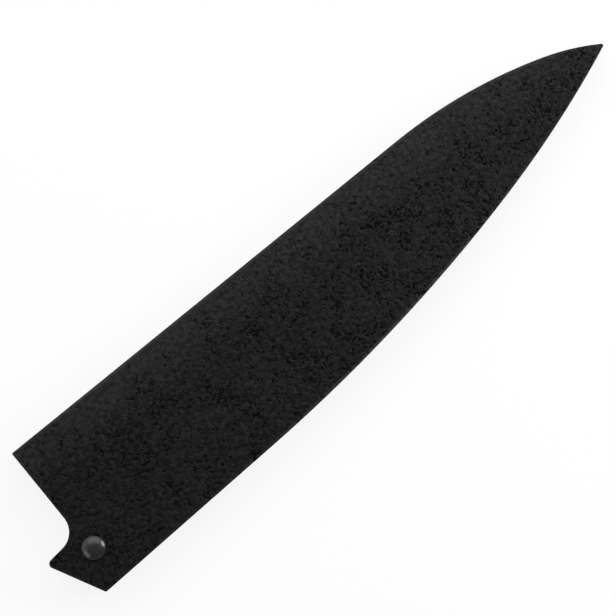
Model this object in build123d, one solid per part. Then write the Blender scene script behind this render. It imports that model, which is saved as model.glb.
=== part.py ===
from build123d import *
import os
from math import cos, radians, sin, tan

# Knife blade guard for a long chef's knife: two thin wooden panels on a spacer, open at the rear,
# with a loose pin that stands behind the heel of the blade.
# Millimetres. The plan is drawn from the corner where the spine side meets the mouth, with X along
# the spine side to the tip and Y up to the spine side. The back face lies at Z zero.

# Outline of the guard
spine_straight = 155.1      # mouth to where the spine side starts to fall
point_length = 69.8         # from there to the tip
tip_drop = 17.3             # spine line down to the tip
mouth_width = 52.1          # spine line to the edge side, at the mouth
edge_straight = 65.3        # mouth to where the edge side starts to curve
edge_taper = 2.25           # degrees that the straight of the edge side closes
spine_bend_shares = (0.738, 0.4815)     # of the run and the fall left before the tip
edge_bend_shares = (0.669, 0.4614)      # of the run and the rise left before the tip

# Rear end: the mouth, the notch under it and the tail
tail_length = 13.75         # mouth to the corner of the tail, before it is rounded
tail_width = 19.8           # edge side to the upper side of the tail, at the mouth
tail_top_slope = 6.4        # degrees that it falls rearward
tail_rake = 27.1            # degrees that the rear of the tail leans forward
notch_radius = 7.1
tail_corner_radius = 1.5
corner_radius = 0.5         # spine corner and heel corner
tip_radius = 0.6

# Layers
panel_thickness = 3.0
slot_gap = 2.8              # room for the blade between the panels
spine_wall = 3.6            # solid wood above the slot
edge_wall = 4.0             # solid wood below the slot
slot_end_radius = 1.2
tip_block_length = 20.0     # from the tip back to the joint with the strips
lead_in = 0.8               # bevel that guides the blade into the slot
edge_round = 0.4            # softened outer edges of the panels
edge_round_share = 0.8      # most of a corner's radius that the softening takes

# Locking pin and the hole for it
pin_from_mouth = 1.4        # mouth to the pin's axis, towards the tip
pin_from_strip = 9.0        # spacer on the edge side to the pin's axis
shank_diameter = 6.0
pin_clearance = 0.05        # radial, shank to hole
pin_end_gap = 0.3           # end of the pin up from the back face
pin_end_bevel = 0.4
hole_bevel = 0.35
head_diameter = 7.7
head_rim = 0.4              # upright rim under the dome
head_dome = 1.8             # rise of the dome above the rim

# Ring in the pin's groove, as it is squeezed inside the back panel's hole
ring_width = 1.1
ring_depth = 0.8            # between its inner and outer surfaces
ring_gap = 0.02             # radial, ring to hole
groove_clearance = 0.05     # ring to the floor and sides of the groove
ring_round_share = 0.45     # of the ring's depth, for the rounding of its section

overrun = 40.0              # how far cutting shapes run past what they cut

thickness = 2 * panel_thickness + slot_gap
front_inner_face = panel_thickness + slot_gap
shank_radius = shank_diameter / 2
hole_radius = shank_radius + pin_clearance
ring_height = panel_thickness / 2
edge_fall = tan(radians(edge_taper))
rear_end = -tail_length - overrun
front_end = spine_straight + point_length + overrun
side_reach = mouth_width + overrun

spine_corner = Vector(0, 0)
spine_bend_start = Vector(spine_straight, 0)
edge_bend_start = Vector(edge_straight, edge_fall * edge_straight - mouth_width)
tip = Vector(spine_straight + point_length, -tip_drop)
notch_corner = Vector(0, tail_width - mouth_width)
tail_corner = notch_corner - Vector(tail_length, tan(radians(tail_top_slope)) * tail_length)
pin_centre = Vector(pin_from_mouth, edge_wall + pin_from_strip - mouth_width)


def side_region(bend_start, rise, bend_shares, inward, inset):
    """The region inside one long side of the guard, drawn in by an inset.

    The side is straight from behind the tail to the start of its bend, with the given rise, then
    two tangent arcs to the tip, and a straight past it. Inward is 1 where the guard lies above
    the side and -1 where it lies below. The region reaches past the other side.
    """
    run_share, fall_share = bend_shares
    left = tip - bend_start
    rear = Vector(rear_end, bend_start.Y - rise * (bend_start.X - rear_end))
    bend_end = bend_start + Vector(run_share * left.X, fall_share * left.Y)
    straight = Line(rear, bend_start)
    bend = TangentArc(bend_start, bend_end, tangent=straight % 1)
    sweep = TangentArc(bend_end, tip, tangent=bend % 1)

    points = [rear, bend_start, bend_end, tip]
    headings = [straight % 1, bend % 0, sweep % 0, sweep % 1]
    shifts = [Vector(-heading.Y, heading.X) * inward * inset for heading in headings]
    start, bend_start, bend_end, end = [point + shift for point, shift in zip(points, shifts)]
    past_tip = end + headings[3] * overrun
    far_side = inward * side_reach
    side = [
        Line(start, bend_start),
        TangentArc(bend_start, bend_end, tangent=headings[1]),
        TangentArc(bend_end, end, tangent=headings[2]),
        Polyline(end, past_tip, (past_tip.X, far_side), (start.X, far_side), start),
    ]
    return make_face(side)


def blade_region(spine_inset, edge_inset):
    """The long tapering region between the spine side and the edge side, each drawn in."""
    below_spine = side_region(spine_bend_start, 0, spine_bend_shares, -1, spine_inset)
    above_edge = side_region(edge_bend_start, edge_fall, edge_bend_shares, 1, edge_inset)
    return below_spine & above_edge


def rear_region():
    """Everything in front of the mouth line, the notch and the tail."""
    rake = Vector(sin(radians(tail_rake)), -cos(radians(tail_rake)))
    top = Vector(0, side_reach)
    foot = tail_corner + rake * (2 * side_reach)
    rear = FilletPolyline(top, notch_corner, tail_corner, foot, radius=[notch_radius, tail_corner_radius])
    closing = Polyline(foot, (front_end, foot.Y), (front_end, top.Y), top)
    return make_face([rear, closing])


def outline_face(sharp):
    """The guard in plan, with its spine corner, heel corner and tip rounded unless sharp."""
    face = blade_region(0, 0) & rear_region()
    if not sharp:
        heel = face.vertices().sort_by(Axis.Y)[0]
        spine = face.vertices().sort_by_distance(spine_corner)[0]
        face = fillet([heel, spine], corner_radius)
        face = fillet(face.vertices().sort_by(Axis.X)[-1], tip_radius)
    return face


def slot_face():
    """The room for the blade in plan, rounded at its point and running out behind the guard."""
    face = blade_region(spine_wall, edge_wall)
    return fillet(face.vertices().sort_by(Axis.X)[-1], slot_end_radius)


def at_height(face, height):
    return Pos(0, 0, height) * face


def lead_in_bevel():
    """What the bevel at the mouth and the tail takes from the front panel, inside the slot."""
    plate = extrude(at_height(outline_face(sharp=True), front_inner_face), panel_thickness)
    bevelled = chamfer(plate.edges().group_by(Axis.Z)[0], lead_in)
    room = extrude(at_height(slot_face(), front_inner_face - overrun), 2 * overrun)
    return (plate - bevelled) & room


def pin_hole():
    """The hole in the front panel, with a small bevel at its outer edge."""
    profile = Polyline(
        (0, front_inner_face - overrun),
        (hole_radius, front_inner_face - overrun),
        (hole_radius, thickness - hole_bevel),
        (hole_radius + hole_bevel, thickness),
        (hole_radius + hole_bevel, thickness + overrun),
        (0, thickness + overrun),
        close=True,
    )
    return Pos(pin_centre.X, pin_centre.Y, 0) * revolve(Plane.XZ * make_face(profile), Axis.Z)


def front_panel():
    panel = extrude(at_height(outline_face(sharp=False), front_inner_face), panel_thickness)
    softening = min(edge_round, edge_round_share * min(corner_radius, tip_radius))
    panel = fillet(panel.edges().group_by(Axis.Z)[-1], softening)
    return panel - lead_in_bevel() - pin_hole()


def back_panel():
    """The front panel's mirror image, below the middle of the guard."""
    return mirror(front_panel(), about=Plane.XY.offset(thickness / 2))


def spacer_faces():
    """The spine strip, the edge strip and the tip block in plan."""
    rim = outline_face(sharp=False) - slot_face()
    joint = tip.X - tip_block_length
    front = Pos((joint + front_end) / 2, 0) * Rectangle(front_end - joint, 2 * side_reach)
    strips = (rim - front).faces().sort_by(Axis.Y)
    return strips[-1], strips[0], (rim & front).face()


def spacer_piece(face):
    return extrude(at_height(face, panel_thickness), slot_gap)


def locking_pin():
    """The domed head on the front face, and the shank down to the back, with the ring's groove."""
    shoulder = Vector(head_diameter / 2, thickness + head_rim)
    top = Vector(0, shoulder.Y + head_dome)
    dome = TangentArc(top, shoulder, tangent=(1, 0))
    side = Polyline(
        shoulder,
        (shoulder.X, thickness),
        (shank_radius, thickness),
        (shank_radius, pin_end_gap + pin_end_bevel),
        (shank_radius - pin_end_bevel, pin_end_gap),
        (0, pin_end_gap),
        top,
    )
    pin = revolve(Plane.XZ * make_face([dome, side]), Axis.Z)
    groove_depth = ring_depth + groove_clearance
    groove_middle = hole_radius - ring_gap - groove_depth / 2
    groove = Rectangle(groove_depth, ring_width + 2 * groove_clearance)
    pin -= revolve(Plane.XZ * Pos(groove_middle, ring_height) * groove, Axis.Z)
    return Pos(pin_centre.X, pin_centre.Y, 0) * pin


def pin_o_ring():
    """The rubber ring, squeezed to just inside the hole."""
    middle = hole_radius - ring_gap - ring_depth / 2
    section = RectangleRounded(ring_depth, ring_width, ring_round_share * ring_depth)
    ring = revolve(Plane.XZ * Pos(middle, ring_height) * section, Axis.Z)
    return Pos(pin_centre.X, pin_centre.Y, 0) * ring


def main():
    spine_strip, edge_strip, tip_block = [spacer_piece(face) for face in spacer_faces()]
    parts = {
        "front_panel": front_panel(),
        "back_panel": back_panel(),
        "spine_strip": spine_strip,
        "edge_strip": edge_strip,
        "tip_block": tip_block,
        "locking_pin": locking_pin(),
        "pin_o_ring": pin_o_ring(),
    }
    # The origin is under the middle of the whole guard's length and width, on its back face
    middle = outline_face(sharp=False).bounding_box().center()
    os.makedirs("parts", exist_ok=True)
    for name, shape in parts.items():
        export_step(Pos(-middle.X, -middle.Y, 0) * shape, f"parts/{name}.step")
    print("origin in the plan:", middle)
    print("pin axis:", pin_centre - middle, "mouth line X:", -middle.X, "spine line Y:", -middle.Y)
    print("tip:", tip - middle, "thickness:", thickness)


main()
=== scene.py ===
import bpy
import math
import numpy as np
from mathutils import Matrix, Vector
from mathutils.geometry import delaunay_2d_cdt


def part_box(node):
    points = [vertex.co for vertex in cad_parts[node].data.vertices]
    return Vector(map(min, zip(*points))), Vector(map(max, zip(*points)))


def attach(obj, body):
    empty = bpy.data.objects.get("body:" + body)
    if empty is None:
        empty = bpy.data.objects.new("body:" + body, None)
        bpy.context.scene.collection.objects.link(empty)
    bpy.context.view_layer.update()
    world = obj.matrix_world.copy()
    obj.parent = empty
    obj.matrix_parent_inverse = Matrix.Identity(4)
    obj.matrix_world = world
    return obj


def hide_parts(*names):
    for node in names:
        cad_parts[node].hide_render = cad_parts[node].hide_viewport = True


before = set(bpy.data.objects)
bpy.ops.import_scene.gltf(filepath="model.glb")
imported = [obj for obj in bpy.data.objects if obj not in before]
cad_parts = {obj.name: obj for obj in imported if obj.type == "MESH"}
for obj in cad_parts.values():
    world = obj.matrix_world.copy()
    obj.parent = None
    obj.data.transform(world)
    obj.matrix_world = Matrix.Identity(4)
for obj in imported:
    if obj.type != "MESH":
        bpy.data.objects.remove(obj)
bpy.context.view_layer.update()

mm = 0.001  # settings are in millimetres, and meshes in metres
samePlace = 1e-6  # two points that are no further apart are one
leastArcPoints = 7
sharpestTurn = 0.4  # limits how far a sharp corner lengthens an inward step
print("frame loaded:", sorted(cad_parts))


def nodeBox(node):
    low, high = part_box(node)
    return np.array(low) / mm, np.array(high) / mm


# Lines in plan: rows of points
def unit(step):
    return step / np.linalg.norm(step, axis=-1, keepdims=True)


def raised(plan, height):
    # Points in plan with their heights
    return np.concatenate([plan, np.broadcast_to(height, plan.shape[:-1])[..., None]], axis=-1)


def lengthsAlong(points):
    # Running sum of the distances from each point to the next, from zero
    steps = np.linalg.norm(np.diff(points, axis=0), axis=1)
    return np.concatenate([[0.0], np.cumsum(steps)])


def pointsAt(points, places, run=None):
    # Points of a line at the given lengths along it, or where another run of values reaches them
    run = lengthsAlong(points) if run is None else run
    return np.stack([np.interp(places, run, points[:, axis]) for axis in (0, 1)], axis=1)


def stretch(points, start, end, run=None, gap=0):
    # The line between two such places, less its own points within a gap of them
    run = lengthsAlong(points) if run is None else run
    kept = points[(run > start + gap) & (run < end - gap)]
    ends = pointsAt(points, [start, end], run)
    return np.concatenate([ends[:1], kept, ends[1:]])


def straightLine(start, end, spacing):
    # Even steps from start to end, none longer than the spacing
    count = max(2, math.ceil(math.dist(start, end) / spacing) + 1)
    share = np.linspace(0, 1, count)[:, None]
    return np.array(start) * (1 - share) + np.array(end) * share


def bentLine(start, heading, end, spacing):
    # The arc that leaves start along heading and reaches end. It turns by twice the angle from the
    # heading to the chord, and its radius is the chord over twice the sine of half that turn.
    start, end = np.array(start), np.array(end)
    chord = end - start
    turn = 2 * (math.atan2(chord[1], chord[0]) - heading)
    turn = (turn + 2 * math.pi) % (4 * math.pi) - 2 * math.pi
    radius = np.linalg.norm(chord) / (2 * math.sin(turn / 2))
    count = max(leastArcPoints, math.ceil(abs(radius * turn) / spacing) + 1)
    angle = heading + np.linspace(0, 1, count) * turn
    across = np.sin(angle) - math.sin(heading)
    along = math.cos(heading) - np.cos(angle)
    return start + radius * np.stack([across, along], axis=1)


def headingAt(points, index):
    step = points[index + 1] - points[index] if index >= 0 else points[-1] - points[-2]
    return math.atan2(step[1], step[0])


def roundedLine(lines, radii, spacing):
    # Lines end to end, with each corner cut back by radius times the tangent of half its turn and
    # an arc set in. A closed line has as many radii as lines, and an open one fewer.
    lines = [np.array(line, float) for line in lines]
    arcs = []
    for index, radius in enumerate(radii):
        before, after = lines[index], lines[(index + 1) % len(lines)]
        arrive, leave = headingAt(before, -1), headingAt(after, 0)
        turn = (leave - arrive + math.pi) % (2 * math.pi) - math.pi
        reach = radius * math.tan(abs(turn) / 2)
        before = stretch(before, 0, lengthsAlong(before)[-1] - reach)
        after = stretch(after, reach, lengthsAlong(after)[-1])
        lines[index], lines[(index + 1) % len(lines)] = before, after
        arcs.append(bentLine(before[-1], arrive, after[0], spacing) if radius else before[-1:])
    parts = [part for line, arc in zip(lines, arcs) for part in (line, arc[1:-1])]
    points = np.concatenate(parts + lines[len(arcs):])
    gaps = np.linalg.norm(points - np.roll(points, 1, axis=0), axis=1)
    return points[gaps > samePlace]


def inwardOf(loop):
    # Left-hand direction at each point of an anticlockwise loop, lengthened at corners so that a
    # shift by a distance moves both neighbouring sides by that distance
    ahead = unit(np.roll(loop, -1, axis=0) - loop)
    behind = np.roll(ahead, 1, axis=0)
    left = np.stack([-(ahead + behind)[:, 1], (ahead + behind)[:, 0]], axis=1)
    share = 1 + np.sum(ahead * behind, axis=1)
    return left / np.maximum(share, sharpestTurn)[:, None]


# Outline of the guard, measured from the corner where the spine side meets the mouth
outline = {
    "spineStraight": 155.1,  # mouth to where the spine side starts to fall
    "pointLength": 69.8,
    "tipDrop": 17.3,
    "mouthWidth": 52.1,
    "edgeStraight": 65.3,
    "edgeTaper": math.radians(2.25),
    "spineBendShares": (0.738, 0.4815),
    "edgeBendShares": (0.669, 0.4614),
    "tailLength": 13.75,
    "tailWidth": 19.8,
    "tailTopSlope": math.radians(6.4),
    "tailRake": math.radians(27.1),
    "notchRadius": 7.1,
    "tailCornerRadius": 1.5,
    "cornerRadius": 0.5,
    "tipRadius": 0.605,
    "spacing": 0.42,
    "arcSpacing": 0.09,
}

panelHigh = nodeBox("front_panel")[1]
mouthX, spineY = nodeBox("spine_strip")[0][0], panelHigh[1]
tipAlong = outline["spineStraight"] + outline["pointLength"]
tipPoint = np.array([mouthX + tipAlong, spineY - outline["tipDrop"]])
edgeSlope = math.tan(outline["edgeTaper"])
edgeY = spineY - outline["mouthWidth"]


def edgeHeight(x):
    # Of the edge side's straight, or of its line carried on
    return edgeY + edgeSlope * (x - mouthX)


def sideLine(bendStart, rise, shares, rearX):
    # Straight from rearX to the start of the bend, then two tangent arcs to the tip
    spacing = outline["spacing"]
    left = tipPoint - bendStart
    bendEnd = bendStart + left * np.array(shares)
    rear = (rearX, bendStart[1] - rise * (bendStart[0] - rearX))
    straight = straightLine(rear, bendStart, spacing)
    bend = bentLine(bendStart, math.atan(rise), bendEnd, spacing)
    chord = bendEnd - bendStart
    heading = 2 * math.atan2(chord[1], chord[0]) - math.atan(rise)
    sweep = bentLine(bendEnd, heading, tipPoint, spacing)
    return np.concatenate([straight, bend[1:], sweep[1:]])


def spineLine(rearX):
    start = np.array([mouthX + outline["spineStraight"], spineY])
    return sideLine(start, 0, outline["spineBendShares"], rearX)


def edgeLine(rearX):
    x = mouthX + outline["edgeStraight"]
    return sideLine(np.array([x, edgeHeight(x)]), edgeSlope, outline["edgeBendShares"], rearX)


def outlineLoop():
    # Anticlockwise from the foremost point of the tip
    spacing = outline["spacing"]
    notch = np.array([mouthX, edgeY + outline["tailWidth"]])
    tail = notch - outline["tailLength"] * np.array([1, math.tan(outline["tailTopSlope"])])
    rake = np.array([math.sin(outline["tailRake"]), -math.cos(outline["tailRake"])])
    # The rear of the tail meets the edge side where both have the same height
    drop = (tail[1] - edgeHeight(tail[0])) / (edgeSlope * rake[0] - rake[1])
    heel = tail + rake * drop
    lines = [
        spineLine(mouthX)[::-1],
        straightLine((mouthX, spineY), notch, spacing),
        straightLine(notch, tail, spacing),
        straightLine(tail, heel, spacing),
        edgeLine(heel[0]),
    ]
    corners = ("cornerRadius", "notchRadius", "tailCornerRadius", "cornerRadius", "tipRadius")
    loop = roundedLine(lines, [outline[corner] for corner in corners], outline["arcSpacing"])
    return np.roll(loop, -np.argmax(loop[:, 0]), axis=0), heel


guardLoop, heelCorner = outlineLoop()
closedLoop = np.concatenate([guardLoop, guardLoop[:1]])
loopRun = lengthsAlong(closedLoop)
print("outline:", len(guardLoop), "points,", round(loopRun[-1], 1), "mm round")


def lengthNear(place):
    # Length round the loop, from the tip, of its point nearest to a place
    return loopRun[np.argmin(np.linalg.norm(closedLoop - np.array(place), axis=1))]


# Rough lacquer: pits and blotches that the meshes and the finish share
relief = {
    "seed": 11,
    "seedStep": 100,  # between the seeds of one piece and the next
    "blotch": (1.2, 0.45, 2.1),  # its size, the share of a finer noise on it, and how much finer
    "cluster": (6.5, 0.6, 2.3),  # the same for a crowd of blotches
    "crowdRange": 0.8,
    "warpCell": 1.0,
    "warp": 0.48,
    "crowding": 0.27,
    "threshold": 0.52,
    "softness": 0.8,
    "pitDepth": 0.13,
    "swellCell": 1.4,
    "swellDepth": 0.07,
    "swellRange": 1.6,
    "calmShares": (0.02, 0.36),  # of the mouth's width in from the spine side, where pits are few
    "calm": 0.75,
    "thinPlaces": (0, 55, 130, 200),  # distances from the mouth
    "thinning": (0.25, 0.0, 0.0, 0.12),  # how far crowds are thinned at each
    # Painted shade: where crowds are thinned, the calm and with it the lacquer's tone drop by this, so
    # the tail and the tip are darker
    "paintedEndShade": 0.8,  # what a thinned place loses in calm
}


def latticeNoise(points, cell, seed):
    # At each corner of a cubic lattice stands a random direction. A point takes its offset from each
    # of its cell's eight corners along that corner's direction, blended along each axis by the
    # smooth step 6t^5 - 15t^4 + 10t^3, and the sum is scaled to a spread of about one.
    table, spread = 256, 3.6
    rng = np.random.default_rng(seed)
    order = rng.permutation(table)
    directions = unit(rng.normal(size=(table, 3)))
    place = points / cell
    base = np.floor(place).astype(np.int64)
    part = place - base
    fade = part**3 * (part * (part * 6 - 15) + 10)
    total = np.zeros(points.shape[:-1])
    for corner in np.ndindex(2, 2, 2):
        node = (base + corner) % table
        pick = order[(order[(order[node[..., 0]] + node[..., 1]) % table] + node[..., 2]) % table]
        reach = np.sum(directions[pick] * (part - corner), axis=-1)
        total += reach * np.prod(np.where(corner, fade, 1 - fade), axis=-1)
    return total * spread


def twoScales(points, cell, share, finer, seed):
    # A noise, and a share of a finer one on it
    return latticeNoise(points, cell, seed) + share * latticeNoise(points, cell / finer, seed + 1)


def smoothStep(value, low, high):
    # From 0 at low to 1 at high, by 3t^2 - 2t^3
    share = np.clip((value - low) / (high - low), 0, 1)
    return share * share * (3 - 2 * share)


def roughness(points, seed):
    # How deep in a pit each point lies, how crowded its surroundings are, how calm its side of the
    # guard is, less a painted shade at the thinned tail and tip, and how far a slow swell lowers it,
    # all from about 0 to 1. A pit is where a warped noise passes a threshold, which a coarser noise
    # lowers in crowds and the calm side raises.
    seed = relief["seed"] + relief["seedStep"] * seed
    drift = np.stack([latticeNoise(points, relief["warpCell"], seed + n) for n in (1, 2, 3)], axis=-1)
    blotch = twoScales(points + drift * relief["warp"], *relief["blotch"], seed + 4)
    crowd = twoScales(points, *relief["cluster"], seed + 6)
    thinned = np.interp(points[..., 0] - mouthX, relief["thinPlaces"], relief["thinning"])
    crowd = relief["crowding"] * crowd - thinned
    calm = 1 - smoothStep((spineY - points[..., 1]) / outline["mouthWidth"], *relief["calmShares"])
    level = blotch + crowd - relief["calm"] * calm
    pit = smoothStep(level, relief["threshold"], relief["threshold"] + relief["softness"])
    crowd = smoothStep(crowd, -relief["crowdRange"], relief["crowdRange"])
    swell = latticeNoise(points, relief["swellCell"], seed + 8)
    swell = smoothStep(swell, -relief["swellRange"], relief["swellRange"])
    # The calm carries the painted shade of the thinned tail and tip
    return dict(pit=pit, crowd=crowd, calm=calm - relief["paintedEndShade"] * thinned), swell


def newObject(name, data):
    thing = bpy.data.objects.new(name, data)
    bpy.context.scene.collection.objects.link(thing)
    return thing


# Meshes: grids of points and the faces between them
class Shell:
    fieldNames = ("pit", "crowd", "calm", "rim", "bare")
    sharpAngle = math.radians(38)
    fillStyle = (1, 1e-9, False)  # triangles inside the loops, the least step, and no lists of origins

    def __init__(self):
        self.count = 0
        self.points = []
        self.fields = {name: [] for name in self.fieldNames}
        self.quads = []
        self.triangles = []

    def add(self, points, **fields):
        # Takes any grid of points and gives it its numbers, in a grid of the same shape
        shape = points.shape[:-1]
        size = int(np.prod(shape))
        self.points.append(points.reshape(-1, 3))
        for name in self.fieldNames:
            self.fields[name].append(np.broadcast_to(fields.get(name, 0.0), shape).reshape(-1))
        numbers = np.arange(self.count, self.count + size).reshape(shape)
        self.count += size
        return numbers

    def skin(self, grid, wrap=False, kept=None):
        # A quad for each cell of a grid of numbers: down a row, then along a column
        if wrap:
            grid = np.concatenate([grid, grid[:, :1]], axis=1)
        cells = np.stack([grid[:-1, :-1], grid[1:, :-1], grid[1:, 1:], grid[:-1, 1:]], axis=-1)
        self.quads.append(cells[kept] if kept is not None else cells.reshape(-1, 4))

    def fan(self, pole, ring):
        # Triangles from one point to a row of points
        pole = np.full(len(ring) - 1, pole)
        self.triangles.append(np.stack([pole, ring[:-1], ring[1:]], axis=1))

    def fill(self, loops, upward):
        # A flat face between an outer loop and any holes in it. Of the triangles that join the
        # loops' points it keeps those from whose middle a ray to the right crosses an odd number
        # of sides.
        numbers = np.concatenate(loops)
        ends = np.cumsum([len(loop) for loop in loops])
        parts = np.split(np.arange(len(numbers)), ends[:-1])
        ahead = np.concatenate([np.roll(part, -1) for part in parts])
        plan = np.concatenate(self.points)[numbers, :2]
        sides = np.stack([np.arange(len(numbers)), ahead], axis=1)
        cells = np.array(delaunay_2d_cdt(plan.tolist(), sides.tolist(), [], *self.fillStyle)[2])
        along = plan[ahead] - plan
        reach = plan[cells].mean(axis=1)[:, None] - plan
        level = (reach[..., 1] < 0) != (reach[..., 1] < along[:, 1])
        beside = (along[:, 0] * reach[..., 1] - along[:, 1] * reach[..., 0] > 0) == (along[:, 1] > 0)
        cells = cells[np.sum(level & beside, axis=1) % 2 == 1]
        a, b, c = (plan[cells[:, n]] for n in (0, 1, 2))
        turn = (b - a)[:, 0] * (c - a)[:, 1] - (b - a)[:, 1] * (c - a)[:, 0]
        wrong = (turn > 0) != upward
        cells[wrong] = cells[wrong][:, ::-1]
        self.triangles.append(numbers[cells])

    def piece(self, name, finish, body, node, turned=False):
        points = np.concatenate(self.points) * mm
        quads = np.concatenate(self.quads)
        triangles = np.concatenate(self.triangles) if self.triangles else np.zeros((0, 3), int)
        if turned:
            quads, triangles = quads[:, ::-1], triangles[:, ::-1]
        corners = np.concatenate([quads.ravel(), triangles.ravel()])
        sides = np.concatenate([np.full(len(quads), 4), np.full(len(triangles), 3)])
        mesh = bpy.data.meshes.new(name)
        mesh.vertices.add(len(points))
        mesh.vertices.foreach_set("co", points.ravel())
        mesh.loops.add(len(corners))
        mesh.loops.foreach_set("vertex_index", corners)
        mesh.polygons.add(len(sides))
        mesh.polygons.foreach_set("loop_start", np.concatenate([[0], np.cumsum(sides)[:-1]]))
        mesh.polygons.foreach_set("use_smooth", np.ones(len(sides), bool))
        mesh.update(calc_edges=True)
        for field, values in self.fields.items():
            layer = mesh.attributes.new(field, "FLOAT", "POINT")
            layer.data.foreach_set("value", np.concatenate(values).astype(np.float32))
        mesh.set_sharp_from_angle(angle=self.sharpAngle)
        mesh.materials.append(finish)
        thing = newObject(name, mesh)
        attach(thing, body)
        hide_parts(node)
        print(name, "has", 2 * len(quads) + len(triangles), "triangles")


# Finishes
middle = 0.5  # of every noise
plain = (1, 1, 1)  # a noise that is drawn out along no axis


class Value:
    # A number on its way through a material: plain sums on it add Math nodes
    def __init__(self, finish, socket):
        self.finish = finish
        self.socket = socket

    def maths(self, operation, *others):
        inputs = dict(enumerate((self, *others)))
        return self.finish.add("ShaderNodeMath", {"operation": operation}, inputs)

    def __add__(self, other):
        return self.maths("ADD", other)

    def __mul__(self, other):
        return self.maths("MULTIPLY", other)

    def __sub__(self, other):
        return self.maths("SUBTRACT", other)

    def __rsub__(self, other):
        return self.finish.add("ShaderNodeMath", {"operation": "SUBTRACT"}, {0: other, 1: self})

    __radd__, __rmul__ = __add__, __mul__


class Finish:
    # A material, or the world, and the few ways in which its nodes are made. Its look is its
    # settings, and its parts are its noises, less their middle, and whatever else it names.
    def __init__(self, holder, look=None):
        self.material = holder
        holder.use_nodes = True
        self.tree = holder.node_tree
        self.tree.nodes.clear()
        self.look = look or {"noises": {}}
        self.parts = {}
        for name, (stretch, *settings) in self.look["noises"].items():
            self.parts[name] = self.noise(self.place(stretch), *settings) - middle

    def add(self, kind, settings=None, inputs=None, output=0):
        node = self.tree.nodes.new(kind)
        for name, setting in (settings or {}).items():
            setattr(node, name, setting)
        for name, value in (inputs or {}).items():
            if isinstance(value, Value):
                self.tree.links.new(value.socket, node.inputs[name])
            elif value is not None:
                node.inputs[name].default_value = value
        if len(node.outputs):
            return Value(self, node.outputs[output])

    def part(self, name):
        # A part by its name, or else the mesh's field of that name
        if name not in self.parts:
            self.parts[name] = self.add("ShaderNodeAttribute", {"attribute_name": name}, output="Fac")
        return self.parts[name]

    def weigh(self, weights):
        # The base and the sum of each part named times its weight
        weights = dict(self.look[weights])
        total = weights.pop("base", 0.0)
        for name, weight in weights.items():
            total = total + self.part(name) * weight
        return total

    def mask(self, weights):
        return self.step(self.weigh(weights), *self.look[weights + "Edge"])

    def place(self, stretch):
        # Object coordinates in millimetres, drawn out along an axis where its stretch is over one
        spot = self.add("ShaderNodeTexCoord", output="Object")
        scale = [1 / (mm * share) for share in stretch]
        return self.add("ShaderNodeMapping", inputs={"Vector": spot, "Scale": scale})

    def noise(self, place, cell, detail=2.0, rough=0.5, warp=0.0):
        # Cell is its size in millimetres, detail its octaves and rough the share of the finer ones
        inputs = {"Vector": place, "Scale": 1 / cell, "Detail": detail, "Roughness": rough}
        return self.add("ShaderNodeTexNoise", {}, dict(inputs, Distortion=warp), "Fac")

    def step(self, value, low, high, first=0.0, last=1.0):
        inputs = {"Value": value, "From Min": low, "From Max": high, "To Min": first, "To Max": last}
        return self.add("ShaderNodeMapRange", {"interpolation_type": "SMOOTHSTEP"}, inputs, "Result")

    def blend(self, share, first, last):
        # Of two colours, made or named, which are a Mix node's sockets 6 and 7 and its output 2
        first, last = ((*self.look[c], 1.0) if isinstance(c, str) else c for c in (first, last))
        settings = {"data_type": "RGBA", "clamp_factor": True}
        return self.add("ShaderNodeMix", settings, {0: share, 6: first, 7: last}, 2)

    def between(self, share, first, last):
        # Of two numbers, which are its sockets 2 and 3
        return self.add("ShaderNodeMix", {}, {0: share, 2: first, 3: last})

    def bump(self, height, depth, under=None):
        inputs = {"Height": height, "Distance": depth * mm, "Strength": 1.0, "Normal": under}
        return self.add("ShaderNodeBump", inputs=inputs, output="Normal")

    def layers(self):
        # A bump on a bump, for each part named in the depths
        height = None
        for name, depth in self.look["depths"].items():
            height = self.bump(self.part(name), depth, height)
        return height

    def shader(self, colour, gloss, specular, height=None):
        inputs = {"Base Color": colour, "Roughness": gloss, "Specular IOR Level": specular}
        return self.add("ShaderNodeBsdfPrincipled", inputs=dict(inputs, Normal=height))

    def output(self, shader):
        self.add("ShaderNodeOutputMaterial", inputs={"Surface": shader})
        return self.material


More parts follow.
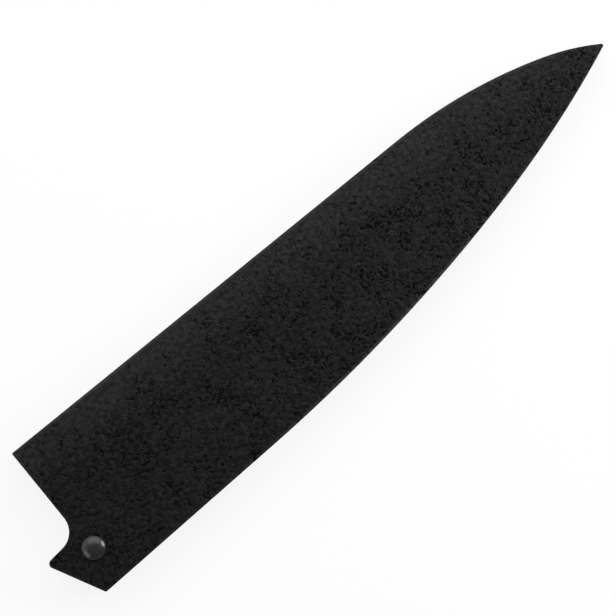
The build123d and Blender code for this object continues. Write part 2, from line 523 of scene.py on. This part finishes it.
# In each finish's settings a noise has its stretch, cell, detail, roughness and distortion. Weights
# say how far the base, each noise, field and mask move a value, and an edge is where a mask starts
# and is full.
lacquer = {
    "ground": (0.0010, 0.0010, 0.0011),
    "light": (0.0188, 0.0188, 0.0194),
    # pit: the colour of the flecks, partly their own dark colour and partly painted shade in the
    # hollows
    "pit": (0.0020, 0.0020, 0.0021),
    # worn is both the colour of rubbed edges and the painted highlight that the rim field lays on the
    # edges
    "worn": (0.038, 0.038, 0.038),
    "wood": (0.42, 0.315, 0.195),
    "woodDark": (0.30, 0.205, 0.115),
    "specular": 0.17,
    "pitGloss": 0.75,
    "pitSpecular": 0.05,
    "woodGloss": 0.72,
    "noises": {
        "fleck": (plain, 1.1, 3.0, 0.58, 0.6),
        "drift": (plain, 16.0, 2.0),
        "mottle": (plain, 1.5, 1.5, 0.5),
        "grain": (plain, 0.16, 2.0, 0.7),
        "rubbed": (plain, 1.7, 4.0, 0.65),
        "fibres": ((34, 1, 1), 0.35, 4.0, 0.6),
        "bands": ((60, 1, 1), 2.6, 2.0),
    },
    "flecks": {"fleck": 1, "pit": 0.14, "crowd": 0.11, "calm": -0.05, "rim": -0.05},
    "fleckEdge": (0.102, 0.162),
    "fleckWall": (0.03, 0.19, 1.0, 0.0),  # from full height to none
    # In the tone, calm lightens the spine side, partly lighter lacquer and partly painted light, and
    # darkens the tail and tip as painted shade
    "tone": {"base": 0.37, "drift": 0.14, "mottle": 1.55, "grain": 0.19, "crowd": -0.16, "calm": 0.47},
    "calmMottle": 0.8,  # how much stronger the mottle is on the calm side
    "wear": {"rim": 1, "rubbed": 1.7},
    "wearEdge": (0.86, 1.16),
    "fleckWear": 0.8,  # share of the wear that a fleck hides
    "timber": {"base": 0.45, "fibres": 0.7, "bands": 0.6},
    "baring": {"bare": 1, "rubbed": 0.9},
    "baringEdge": (0.40, 0.62),
    "gloss": {"base": 0.46, "mottle": 0.22, "grain": 0.18, "dark": 0.28},
    "depths": {"fleck": 0.09, "mottle": 0.16, "grain": 0.010, "fibres": 0.03},
}


def makeLacquer():
    finish = Finish(bpy.data.materials.new("blackTexturedLacquer"), lacquer)
    parts = finish.parts

    # Pits: crisp flecks under a millimetre, close together where the mesh is pitted
    flecked = finish.weigh("flecks")
    dark = parts["dark"] = finish.step(flecked, *lacquer["fleckEdge"])
    parts["fleck"] = finish.step(flecked, *lacquer["fleckWall"])

    # Slow drifts of tone, a mottle of a millimetre or so, and a fine even grain. The calm side is
    # lighter, partly its own lighter lacquer and partly painted light on the spine side, and its
    # mottle stronger; through the calm the tail and tip take a painted shade.
    calmer = finish.part("calm") * parts["mottle"] * lacquer["calmMottle"]
    coated = finish.blend(finish.weigh("tone") + calmer, "ground", "light")

    # Painted highlight and wear: the rim field makes the edges a little lighter, a painted highlight
    # where light would catch the rounded rim, and the lacquer thins where they are rubbed
    coated = finish.blend(finish.part("rim"), coated, "worn")
    coated = finish.blend(finish.mask("wear") * (1 - dark * lacquer["fleckWear"]), coated, "worn")

    # Bare wood in the slot: long fibres and darker bands along the guard
    timber = finish.blend(finish.weigh("timber"), "woodDark", "wood")
    bared = finish.mask("baring")
    parts["fibres"] = (parts["fibres"] + middle) * bared

    gloss = finish.between(bared, finish.weigh("gloss"), lacquer["woodGloss"])
    colour = finish.blend(bared, coated, timber)
    coat = finish.shader(colour, gloss, lacquer["specular"], finish.layers())
    # The flecks take a dark, matt shader: partly their own colour, partly painted shade and lost
    # reflection in the hollows
    hollow = finish.shader((*lacquer["pit"], 1.0), lacquer["pitGloss"], lacquer["pitSpecular"])
    hollowed = dark * (1 - bared)
    return finish.output(finish.add("ShaderNodeMixShader", inputs={0: hollowed, 1: coat, 2: hollow}))


pinLook = {
    "dark": (0.0140, 0.0140, 0.0145),
    "light": (0.0260, 0.0260, 0.0268),
    "worn": (0.045, 0.045, 0.046),
    "specular": 0.35,
    "noises": {
        "cloud": (plain, 1.9, 3.0),
        "scuff": ((5, 0.5, 1), 0.16, 3.0, 0.7),
        "fine": (plain, 0.22, 2.0),
    },
    "tone": {"base": 0.5, "cloud": 1.4, "fine": 0.8},
    "wear": {"rim": 1, "cloud": 1.2},
    "wearEdge": (0.82, 1.2),
    "wearShare": 0.7,
    "scuffEdge": (0.12, 0.24),
    "gloss": {"base": 0.25, "cloud": 0.08, "scratched": 0.13, "worn": 0.15},
    "depths": {"cloud": 0.040, "fine": 0.0018, "unscratched": 0.0012},
}


def makePinPlastic():
    finish = Finish(bpy.data.materials.new("glossyBlackPlastic"), pinLook)
    parts = finish.parts
    parts["worn"] = finish.mask("wear") * pinLook["wearShare"]
    parts["scratched"] = finish.step(parts["scuff"], *pinLook["scuffEdge"])
    parts["unscratched"] = 1 - parts["scratched"]
    colour = finish.blend(finish.weigh("tone"), "dark", "light")
    colour = finish.blend(parts["worn"], colour, "worn")
    shader = finish.shader(colour, finish.weigh("gloss"), pinLook["specular"], finish.layers())
    return finish.output(shader)


ringLook = {
    "dark": (0.008, 0.008, 0.008),
    "light": (0.022, 0.021, 0.020),
    "specular": 0.35,
    "noises": {"dust": (plain, 0.5, 4.0, 0.65), "grain": (plain, 0.09, 2.0)},
    "tone": {"base": 0.4, "dust": 1.6, "rim": 0.35},
    "gloss": {"base": 0.62, "dust": 0.25, "rim": 0.08},
    "depths": {"dust": 0.012, "grain": 0.006},
}


def makeRubber():
    finish = Finish(bpy.data.materials.new("blackRubber"), ringLook)
    colour = finish.blend(finish.weigh("tone"), "dark", "light")
    shader = finish.shader(colour, finish.weigh("gloss"), ringLook["specular"], finish.layers())
    return finish.output(shader)


lacquerFinish = makeLacquer()
pinFinish = makePinPlastic()
rubberFinish = makeRubber()
print("finishes made")


# Slot for the blade, between the strips
slot = {
    "spineWall": 3.6,
    "edgeWall": 4.0,
    "endRadius": 1.2,
    "tipBlockLength": 20.0,
    "leadIn": 0.8,  # bevel of both panels where the blade goes in
    "mouthReach": 1,  # how far forward of the mouth line the bevel still counts
    "crossingGap": 0.05,  # between the slot's point and the line's next point
}
seam = {
    "width": 0.07,  # bevel of every layer along its glued edges
    "uneven": 0.22,
    "cell": 0.9,
    "limit": 2,  # of the noise, either way
    "lacquered": 0.25,  # how far past the bevel the lacquer reaches
}
jointX = tipPoint[0] - slot["tipBlockLength"]


def bevelWidths(loop, width, seed):
    # The bevel's width at each point: even but for a slow noise, as sanding leaves it
    noise = np.clip(latticeNoise(raised(loop, 0), seam["cell"], seed), -seam["limit"], seam["limit"])
    return width * (1 + seam["uneven"] * noise)


def wallsAt(points):
    # Distances in from the spine side and from the straight of the edge side
    fromSpine = spineY - points[..., 1]
    aboveEdge = points[..., 1] - edgeHeight(points[..., 0])
    return fromSpine, aboveEdge * math.cos(outline["edgeTaper"])


def shifted(line, distance):
    # A line moved to its left by a distance
    ahead = np.gradient(line, axis=0)
    left = unit(np.stack([-ahead[:, 1], ahead[:, 0]], axis=1))
    return line + left * distance


def slotLines():
    # The two inner sides of the slot, from behind the guard to where they cross near the tip
    rearX = mouthX - outline["tailLength"] - slot["edgeWall"]
    upper = shifted(spineLine(rearX), -slot["spineWall"])
    lower = shifted(edgeLine(rearX), slot["edgeWall"])
    room = np.interp(upper[:, 0], lower[:, 0], lower[:, 1]) - upper[:, 1]
    past = np.argmax(room > 0)
    share = room[past] / (room[past] - room[past - 1])
    crossing = upper[past] * (1 - share) + upper[past - 1] * share
    upper = np.concatenate([upper[:past], crossing[None]])
    lower = np.concatenate([lower[lower[:, 0] < crossing[0] - slot["crossingGap"]], crossing[None]])
    return upper, lower


slotTop, slotFoot = slotLines()
print("slot runs to X", round(slotTop[-1][0], 2))


# Panels: a ruled face between the two sides, a rim swept round it, a pin hole and a flat inner side
panel = {
    "cell": 0.47,
    "rowsAcross": 110,
    "edgeRound": 0.38,
    "roundSteps": 5,
    "wallSteps": 6,
    "cornerZone": 0.65,  # length of finer cells to each side of a small corner
    "tipZone": 0.8,
    "tailZone": 1.7,
    "cornerCells": 7,
    "squareX": 40.0,  # forward of here the ruled lines lie square across
    "leanX": -68.0,  # foot of the ruled line from the spine corner
    "overHeel": 0.6,  # how far behind the heel corner the ruled line from it ends
    "ringProud": 0.03,  # how far the rubber ring stands out from the pin's shank
    "holeBevel": 0.35,
    "holeClearance": 0.05,
    "holeRings": 12,
    "holeBlock": 2,  # cells round the hole that its rings take the place of
    "holeFade": (0.05, 0.4),  # how far out from the hole the face counts as edge, in full and at all
    "holeRim": 0.9,  # how far it does so there
    "holeCalm": 4,  # how steeply the relief fades towards the hole
    "holeSteps": 5,  # down its wall
    "holeWall": 0.3,  # from the bevel to the first of them
    "holeBare": (0.25, 0.55, 1),  # bareness at the bevel, the first step and the inner side
    "holeWallRim": 0.3,
    "rimFade": (0.15, 0.85),  # how far in from the rim the face counts as edge, in full and at all
    "rimPlaces": (0, 0.06, 0.2, 0.32, 0.38, 0.43, 0.52, 0.64, 0.72, 0.8, 0.94, 1),  # of the way round
    # The rim's shares round the loop set its painted highlight as well as its wear
    "rimHighlightAndWearShares": (0.2, 0.35, 0.45, 0.6, 0.9, 0.2, 0.1, 0.2, 0.6, 1.0, 0.25, 0.2),  # edge counted there
    "rimRelief": 0.3,  # share of the face's relief that the rim keeps
    "wallRim": (0.5, 0.1),  # how far the wall counts as edge, from its top to its foot
}


def ruledStations():
    # Matching lengths along the upper side, from the tip round the mouth to the tail, and along the
    # lower side, from the tip round the heel to the tail, band by band
    whole = loopRun[-1]
    tail = lengthNear(closedLoop[np.argmin(closedLoop[:, 0])])
    corner, tip, zone = panel["cornerCells"], panel["tipZone"], panel["cornerZone"]

    def lower(place):
        return whole - lengthNear(place)

    squareTop = lengthNear((panel["squareX"], spineY))
    spineCorner = lengthNear((mouthX, spineY))
    squareFoot, lean = (lower((x, edgeHeight(x))) for x in (panel["squareX"], panel["leanX"]))
    heel = lower(heelCorner)
    overHeel = lengthNear((heelCorner[0] - panel["overHeel"], edgeY + outline["tailWidth"]))
    # Where each band ends on either side, and its cells, or 0 for as many as their usual size gives
    bands = [
        (tip, tip, corner),
        (squareTop, squareFoot, 0),
        (spineCorner - zone, lean, 0),
        (spineCorner + zone, lean + 2 * zone, corner),
        (overHeel - zone, heel - zone, 0),
        (overHeel + zone, heel + zone, corner),
        (tail - panel["tailZone"], whole - tail - panel["tailZone"], 0),
        (tail, whole - tail, 2 * corner),
    ]
    runs = [np.zeros((1, 2))]
    for *ends, cells in bands:
        start = runs[-1][-1]
        cells = cells or math.ceil(max(ends - start) / panel["cell"])
        runs.append(np.linspace(start, ends, cells + 1)[1:])
    return np.concatenate(runs).T


def gather(rows, outward, slope, side, seed, share=1.0, **fields):
    # Sinks points along their normals by the relief and returns them with their fields. The normal
    # leans outward in plan by the slope's cosine, and up or down, as side says, by its sine.
    rough, swell = roughness(rows, seed)
    rough["pit"] = rough["pit"] * share
    sink = (relief["pitDepth"] * rough["pit"] + relief["swellDepth"] * swell) * share
    plan = rows[..., :2] - outward * (np.cos(slope) * sink)[..., None]
    height = rows[..., 2] - side * np.sin(slope) * sink
    return raised(plan, height), dict(rough, **fields)


def blockEdge(grid, i0, i1, j0, j1):
    # What stands round a block of a grid, once about it
    return np.concatenate([grid[i0, j0:j1], grid[i0:i1, j1], grid[i1, j1:j0:-1], grid[i1:i0:-1, j0]])


topRun, footRun = ruledStations()
columns = len(topRun) - 1
ruledRun = np.concatenate([topRun, loopRun[-1] - footRun[-2:0:-1]])
ruledLoop = pointsAt(closedLoop, ruledRun)
ruledInward = inwardOf(ruledLoop)
topSide = np.arange(columns + 1)  # numbers of the ruled lines' ends on the loop
footSide = np.append(0, np.arange(len(ruledLoop) - 1, columns - 1, -1))
faceSlope = math.pi / 2  # of a normal that stands upright
pinCentre = sum(nodeBox("locking_pin"))[:2] / 2
shankRadius = nodeBox("pin_o_ring")[1][0] - pinCentre[0] - panel["ringProud"]
print("ruled face:", columns, "by", panel["rowsAcross"], "cells; pin at", pinCentre.round(2))


def makePanel(node, name, seed, upward):
    low, high = nodeBox(node)
    side = 1 if upward else -1
    outer = high[2] if upward else low[2]
    thick = high[2] - low[2]
    shell = Shell()

    # Rim: a quarter round from the face, the wall, then a bevel to the inner side
    fromSpine, fromEdge = wallsAt(ruledLoop)
    mouth = (fromSpine > slot["spineWall"]) & (fromEdge > slot["edgeWall"])
    mouth = mouth & (ruledLoop[:, 0] < mouthX + slot["mouthReach"])
    bevel = bevelWidths(ruledLoop, np.where(mouth, slot["leadIn"], seam["width"]), seed)
    rounded = panel["roundSteps"] + 1
    edgeRound = panel["edgeRound"]
    angle = np.linspace(np.full(len(ruledLoop), faceSlope), 0, rounded)
    drop = np.linspace(0, 1, panel["wallSteps"] + 1)[1:, None]
    wall = edgeRound + drop * (thick - bevel - edgeRound)
    bevelEnds = np.stack([bevel, bevel + seam["lacquered"]])
    inset = np.concatenate([edgeRound * (1 - np.cos(angle)), 0 * wall, bevelEnds])
    depth = edgeRound * (1 - np.sin(angle))
    depth = np.concatenate([depth, wall, np.full_like(bevelEnds, thick)])
    slope = np.concatenate([angle, 0 * wall, 0 * bevelEnds])
    share = np.full(len(depth), panel["rimRelief"])
    share[:rounded] = np.linspace(1, panel["rimRelief"], rounded)
    share[-3:] = 0
    rim = np.ones(len(depth))
    rim[rounded:] = np.linspace(*panel["wallRim"], len(depth) - rounded)
    # How strongly each stretch of the rim is painted light, and worn
    rimShineAndWear = np.interp(ruledRun / loopRun[-1], panel["rimPlaces"], panel["rimHighlightAndWearShares"])
    rows = raised(ruledLoop + ruledInward * inset[..., None], outer - side * depth)
    bare = np.zeros(depth.shape)
    bare[-2] = mouth
    bare[-1] = 1
    share, rim = share[:, None], rim[:, None] * rimShineAndWear
    points, fields = gather(rows, -unit(ruledInward), slope, side, seed, share, rim=rim, bare=bare)
    rimGrid = shell.add(points, **fields)
    shell.skin(rimGrid, wrap=True)

    # Face: straight lines between matching points of the rim's first row
    first = rows[0]
    across = np.linspace(0, 1, panel["rowsAcross"] + 1)[None, :, None]
    face = first[footSide][:, None] * (1 - across) + first[topSide][:, None] * across
    edge = 0
    for ends in (topSide, footSide):
        reach = (face - first[ends][:, None])[..., :2]
        distance = np.sum(reach * unit(ruledInward[ends])[:, None], axis=-1)
        edge = np.maximum(edge, rimShineAndWear[ends][:, None] * (1 - smoothStep(distance, *panel["rimFade"])))
    hole = shankRadius + panel["holeClearance"]
    mouthRadius = hole + panel["holeBevel"]
    fromPin = face[..., :2] - pinCentre
    near = np.linalg.norm(fromPin, axis=-1) < mouthRadius + panel["holeBlock"] * panel["cell"]
    nearColumns, nearRows = np.nonzero(near)
    i0, i1 = nearColumns.min() - 1, nearColumns.max() + 1
    j0, j1 = nearRows.min() - 1, nearRows.max() + 1

    points, fields = gather(face, np.zeros(2), faceSlope, side, seed, rim=edge)
    grid = np.zeros(face.shape[:-1], int)
    inside = (slice(1, -1), slice(1, -1))
    fields = {name: value[inside] for name, value in fields.items()}
    grid[inside] = shell.add(points[inside], **fields)
    grid[:, -1] = rimGrid[0, topSide]
    grid[:, 0] = rimGrid[0, footSide]
    grid[0, :] = rimGrid[0, 0]
    grid[-1, :] = rimGrid[0, columns]
    kept = np.ones((columns, panel["rowsAcross"]), bool)
    kept[[0, -1]] = False
    kept[i0:i1, j0:j1] = False
    shell.skin(grid.T, kept=kept.T)
    shell.fan(grid[0, 0], grid[1, ::-1])
    shell.fan(grid[-1, 0], grid[-2])

    # Pin hole: rings from the block of cells left out to the bevelled edge, then down the wall
    around = blockEdge(face[..., :2], i0, i1, j0, j1)
    spokes = unit(around - pinCentre)
    nearness = np.linspace(0, 1, panel["holeRings"] + 1)[1:, None, None]
    rings = around * (1 - nearness) + (pinCentre + spokes * mouthRadius) * nearness
    fromHole = np.linalg.norm(rings - pinCentre, axis=-1) - mouthRadius
    share = np.clip((1 - nearness[..., 0]) * panel["holeCalm"], 0, 1)
    rim = panel["holeRim"] * (1 - smoothStep(fromHole, *panel["holeFade"]))
    points, fields = gather(raised(rings, outer), np.zeros(2), faceSlope, side, seed, share, rim=rim)
    ringGrid = np.concatenate([blockEdge(grid, i0, i1, j0, j1)[None], shell.add(points, **fields)])
    steps = panel["holeSteps"]
    radii = np.append(np.full(steps + 1, hole), hole + seam["width"])
    depths = np.linspace(panel["holeBevel"] + panel["holeWall"], thick - seam["width"], steps)
    depths = np.concatenate([[panel["holeBevel"]], depths, [thick]])
    wallPlan = pinCentre + spokes * radii[:, None, None]
    start, *bareEnds = panel["holeBare"]
    bare = np.append(start, np.linspace(*bareEnds, steps + 1))[:, None]
    wallRows = raised(wallPlan, (outer - side * depths)[:, None])
    wallGrid = shell.add(wallRows, bare=bare, rim=panel["holeWallRim"])
    shell.skin(np.concatenate([ringGrid, wallGrid])[::-1], wrap=True)

    shell.fill([rimGrid[-1], wallGrid[-1]], upward=False)
    shell.piece(name, lacquerFinish, "guard", node, turned=not upward)


makePanel("front_panel", "frontPanel", 1, upward=True)
makePanel("back_panel", "backPanel", 2, upward=False)


# Spacer pieces: a wall swept round each plan, with flat glued faces
spacer = {
    "seed": 3,
    "wallSteps": 7,
    "endGap": 0.2,  # least step from a plan's corner to the next point, more than the seam's bevel
    "strip": 60,  # the strips run at least this far back from the tip block
    "secondRow": 0.6,  # share of the relief on the second rows from the faces
    "endPoints": 3,  # points over which the relief fades at the ends of the outer line
    # share of painted highlight and wear on the strips' outer walls
    "rim": 0.15,
}


def outlineBetween(start, end):
    return stretch(closedLoop, start, end, loopRun, spacer["endGap"])


def crossings(values, after=0):
    # Lengths round the loop, after a given one, at which a row of values passes zero
    change = np.nonzero(np.sign(values[:-1]) != np.sign(values[1:]))[0]
    share = values[change] / (values[change] - values[change + 1])
    lengths = loopRun[change] + share * (loopRun[change + 1] - loopRun[change])
    return lengths[lengths > after]


def trimmed(line, lowX, highX):
    # The part of a forward-running line between two places along the guard
    return stretch(line, lowX, highX, line[:, 0], spacer["endGap"])


def spacerPlans():
    # Each plan as its outer line, on the outline, and its inner line, on the slot
    jointLow, jointHigh = crossings(closedLoop[:, 0] - jointX)
    fromSpine, fromEdge = wallsAt(closedLoop)
    spineEnd = crossings(fromSpine - slot["spineWall"], jointLow + spacer["strip"])[0]
    edgeEnd = crossings(fromEdge - slot["edgeWall"], spineEnd)[0]
    rearX = pointsAt(closedLoop, [edgeEnd])[0, 0]
    spineOuter = outlineBetween(jointLow, spineEnd)
    spineInner = trimmed(slotTop, mouthX, jointX)[1:]
    edgeOuter = outlineBetween(edgeEnd, jointHigh)
    edgeInner = trimmed(slotFoot, rearX, jointX)[::-1][:-1]
    front = outlineBetween(jointHigh, loopRun[-1])
    tipOuter = np.concatenate([front[:-1], outlineBetween(0, jointLow)])
    top, foot = (trimmed(line, jointX, slotTop[-1][0]) for line in (slotTop, slotFoot))
    point = roundedLine([top, foot[::-1]], [slot["endRadius"]], outline["arcSpacing"])
    return {
        "spine_strip": ("spineStrip", spineOuter, spineInner),
        "edge_strip": ("edgeStrip", edgeOuter, edgeInner),
        "tip_block": ("tipBlock", tipOuter, point),
    }


def makeSpacer(node, name, outerLine, innerLine):
    low, high = nodeBox(node)
    shell = Shell()
    loop = np.concatenate([outerLine, innerLine])
    inward = inwardOf(loop)
    shown = np.concatenate([np.ones(len(outerLine)), np.zeros(len(innerLine))])
    share = np.linspace(0, 1, spacer["wallSteps"] + 1)
    width = seam["width"]
    heights = high[2] - width - share * (high[2] - low[2] - 2 * width)
    heights = np.concatenate([[high[2]], heights, [low[2]]])[:, None]
    inset = np.zeros((len(heights), len(loop)))
    inset[[0, -1]] = bevelWidths(loop, width, len(loop))  # its number of points is the seed
    rows = raised(loop + inward * inset[..., None], heights)
    share = np.ones((len(heights), 1))
    share[[0, 1, -2, -1]] = 0
    share[[2, -3]] = spacer["secondRow"]
    # The relief also stops before the ends of the outer line, so that neighbours meet flush
    run = np.arange(len(loop))
    ends = np.clip(np.minimum(run, len(outerLine) - 1 - run) / spacer["endPoints"], 0, 1)
    share = share * ends * shown
    points, fields = gather(rows, -unit(inward), 0.0, 1, spacer["seed"], share, rim=spacer["rim"])
    grid = shell.add(points, bare=1 - shown, **fields)
    shell.skin(grid, wrap=True)
    shell.fill([grid[0]], upward=True)
    shell.fill([grid[-1]], upward=False)
    shell.piece(name, lacquerFinish, "guard", node)


for node, plan in spacerPlans().items():
    makeSpacer(node, *plan)


# Turned pieces: the pin and the ring in its groove
pin = {
    "around": 112,
    "spacing": 0.14,
    "arcSpacing": 0.14 / 3,
    "domePoints": 40,
    "shoulderWear": (1.0, 0.45),  # how far corners count as edge, and how far from them
    "footWear": (0.8, 0.3),
    "headRim": 0.4,
    "endBevel": 0.4,
    "topBlend": 0.22,
    "underRound": 0.08,
    "grooveRound": 0.05,
    "grooveDepth": 0.85,
    "grooveWidth": 1.2,
}


def turn(shell, profile, axis, around, closed=False, **fields):
    # Each profile point (radius, height) goes round the axis in equal steps. An open profile starts
    # and ends on the axis, where one point closes it.
    angle = np.linspace(0, 2 * math.pi, around, endpoint=False)
    circle = np.stack([np.cos(angle), np.sin(angle)], axis=1)
    kept = slice(None) if closed else slice(1, -1)
    radii, heights = profile[kept].T[..., None]
    fields = {name: value[kept, None] for name, value in fields.items()}
    grid = shell.add(raised(axis + circle * radii[..., None], heights), **fields)
    if closed:
        shell.skin(np.concatenate([grid, grid[:1]]), wrap=True)
        return
    shell.skin(grid, wrap=True)
    poles = shell.add(np.array([[*axis, profile[0, 1]], [*axis, profile[-1, 1]]]))
    shell.fan(poles[0], np.append(grid[0], grid[0, 0]))
    shell.fan(poles[1], np.append(grid[-1], grid[-1, 0])[::-1])


def bulge(profile, corners, most, reach):
    # Most at the given corners of a profile, falling to 0 at a distance from them
    gap = np.min([np.linalg.norm(profile - np.array(corner), axis=1) for corner in corners], axis=0)
    return most * np.clip(1 - gap / reach, 0, 1)


def makePin():
    low, high = nodeBox("locking_pin")
    ringLow, ringHigh = nodeBox("pin_o_ring")
    face = panelHigh[2]
    headRadius = (high[0] - low[0]) / 2
    shoulder = (headRadius, face + pin["headRim"])
    rise = high[2] - shoulder[1]
    domeRadius = (headRadius**2 + rise**2) / (2 * rise)
    tilt = np.linspace(0, math.asin(headRadius / domeRadius), pin["domePoints"])
    dome = np.stack([domeRadius * np.sin(tilt), high[2] - domeRadius * (1 - np.cos(tilt))], axis=1)
    grooveTop = (ringLow[2] + ringHigh[2] + pin["grooveWidth"]) / 2
    grooveFoot = grooveTop - pin["grooveWidth"]
    core = shankRadius - pin["grooveDepth"] + panel["ringProud"]
    corners = [
        shoulder,
        (headRadius, face),
        (shankRadius, face),
        (shankRadius, grooveTop),
        (core, grooveTop),
        (core, grooveFoot),
        (shankRadius, grooveFoot),
        (shankRadius, low[2] + pin["endBevel"]),
        (shankRadius - pin["endBevel"], low[2]),
        (0.0, low[2]),
    ]
    lines = [dome] + [straightLine(a, b, pin["spacing"]) for a, b in zip(corners[:-1], corners[1:])]
    small, under = pin["grooveRound"], pin["underRound"]
    radii = [pin["topBlend"], under, 0, small, small, small, small, small, under]
    profile = roundedLine(lines, radii, pin["arcSpacing"])
    rim = bulge(profile, [shoulder], *pin["shoulderWear"])
    rim = np.maximum(rim, bulge(profile, corners[7:9], *pin["footWear"]))
    shell = Shell()
    turn(shell, profile, pinCentre, pin["around"], rim=rim)
    shell.piece("lockingPin", pinFinish, "pin", "locking_pin")


ring = {"around": 96, "spacing": 0.06, "round": 0.36, "depth": 0.8, "wear": (1.0, 0.5)}


def makeRing():
    low, high = nodeBox("pin_o_ring")
    outer = high[0] - pinCentre[0]
    inner = outer - ring["depth"]
    corners = [(outer, high[2]), (inner, high[2]), (inner, low[2]), (outer, low[2])]
    pairs = zip(corners, corners[1:] + corners[:1])
    lines = [straightLine(a, b, ring["spacing"]) for a, b in pairs]
    profile = roundedLine(lines, [ring["round"]] * len(lines), ring["spacing"])
    rim = bulge(profile, [(outer, (low[2] + high[2]) / 2)], *ring["wear"])
    shell = Shell()
    turn(shell, profile, pinCentre, ring["around"], closed=True, rim=rim)
    shell.piece("pinORing", rubberFinish, "pin_ring", "pin_o_ring", turned=True)


makePin()
makeRing()


# Studio: the picture's own view, a pale floor and soft light
view = {
    "pictureSide": 616,
    "millimetresPerPixel": 0.3125,
    "mouthCornerPixel": (11.37, 453.68),  # where the spine side meets the mouth
    "turn": math.radians(-39.07),  # of the guard in the picture
    "lens": 100,
    "sensor": 36,
    "clip": (0.01, 50),  # metres
}
picturedRight = np.array([math.cos(view["turn"]), math.sin(view["turn"])])
picturedUp = np.array([-picturedRight[1], picturedRight[0]])
half = view["pictureSide"] / 2
offset = np.array([half - view["mouthCornerPixel"][0], view["mouthCornerPixel"][1] - half])
offset = offset * view["millimetresPerPixel"]
pictureCentre = np.array([mouthX, spineY]) + offset[0] * picturedRight + offset[1] * picturedUp


def studioPlace(right, up, height):
    # A place by its distances from the picture's centre, as the picture shows them
    plan = pictureCentre + right * picturedRight + up * picturedUp
    return Vector((*plan, height)) * mm


def makeCamera():
    data = bpy.data.cameras.new("camera")
    data.lens = view["lens"]
    data.sensor_width = view["sensor"]
    width = view["pictureSide"] * view["millimetresPerPixel"]
    data.clip_start, data.clip_end = view["clip"]
    camera = newObject("camera", data)
    camera.location = studioPlace(0, 0, panelHigh[2] + width / view["sensor"] * view["lens"])
    camera.rotation_euler = (0, 0, view["turn"])
    bpy.context.scene.camera = camera


lights = {
    # right, up and height of each light's middle, its width and depth, and its brightness, where a
    # white wall under full light is 1
    "softboxAbove": ((-50, 380, 340), (900, 400), 1.9),
    "smallBoxRight": ((640, 220, 240), (400, 240), 14.5),
    "reflectorLeft": ((-500, -480, 190), (420, 220), 2.9),
}


def makeLights():
    for name, (place, size, brightness) in lights.items():
        data = bpy.data.lights.new(name, "AREA")
        data.shape = "RECTANGLE"
        data.size, data.size_y = size[0] * mm, size[1] * mm
        # A flat lamp's power is its brightness times pi times its area
        data.energy = brightness * math.pi * data.size * data.size_y
        lamp = newObject(name, data)
        lamp.location = studioPlace(*place)
        toward = studioPlace(0, 0, 0) - lamp.location
        lamp.rotation_euler = toward.to_track_quat("-Z", "Y").to_euler()


floorLook = {"size": 6000, "white": (0.94, 0.94, 0.94), "plainShare": 0.86}


def makeFloor():
    far = floorLook["size"] / 2 * mm
    mesh = bpy.data.meshes.new("floor")
    corners = [(-far, -far, 0), (far, -far, 0), (far, far, 0), (-far, far, 0)]
    mesh.from_pydata(corners, [], [(0, 1, 2, 3)])
    finish = Finish(bpy.data.materials.new("paleFloor"))
    rays = ("Is Camera Ray", "Is Glossy Ray", "Is Transmission Ray")
    camera, glossy, through = (finish.add("ShaderNodeLightPath", output=ray) for ray in rays)
    seen = camera.maths("MAXIMUM", glossy).maths("MAXIMUM", through) * floorLook["plainShare"]
    matt = finish.add("ShaderNodeBsdfDiffuse", inputs={"Color": (*floorLook["white"], 1)})
    white = finish.add("ShaderNodeEmission", inputs={"Color": (1, 1, 1, 1), "Strength": 1.0})
    both = finish.add("ShaderNodeMixShader", inputs={0: seen, 1: matt, 2: white})
    mesh.materials.append(finish.output(both))
    newObject("floor", mesh)


worldLook = {
    "dim": 0.25,  # overhead and to the lower right
    "bright": 1.5,  # like white walls to the left and above the picture
    "lean": (-0.5, 0.87, 0.0),  # towards the middle of the walls, right, up and height
    "sideShares": (-0.30, 0.45),  # how far towards it they begin and are full
    "heightShares": (0.48, 0.80),  # sine of the elevation at which the walls end
}


def makeWorld():
    # White to the camera. As light it is dim overhead, with bright walls on two sides.
    world = bpy.data.worlds.new("studio")
    bpy.context.scene.world = world
    finish = Finish(world)
    way = finish.add("ShaderNodeTexCoord", output="Generated")
    right, up, height = worldLook["lean"]
    lean = (*(right * picturedRight + up * picturedUp), height)
    side = finish.add("ShaderNodeVectorMath", {"operation": "DOT_PRODUCT"}, {0: way, 1: lean}, "Value")
    rise = finish.add("ShaderNodeSeparateXYZ", inputs={0: way}, output="Z")
    below = finish.step(rise, *worldLook["heightShares"], 1.0, 0.0)
    walls = finish.step(side, *worldLook["sideShares"]) * below
    light = walls * (worldLook["bright"] - worldLook["dim"]) + worldLook["dim"]
    camera = finish.add("ShaderNodeLightPath", output="Is Camera Ray")
    strength = finish.between(camera, light, 1.0)
    sky = finish.add("ShaderNodeBackground", inputs={"Strength": strength})
    finish.add("ShaderNodeOutputWorld", inputs={"Surface": sky})


makeCamera()
makeLights()
makeFloor()
makeWorld()
bpy.context.scene.view_settings.view_transform = "Standard"
print("studio set")
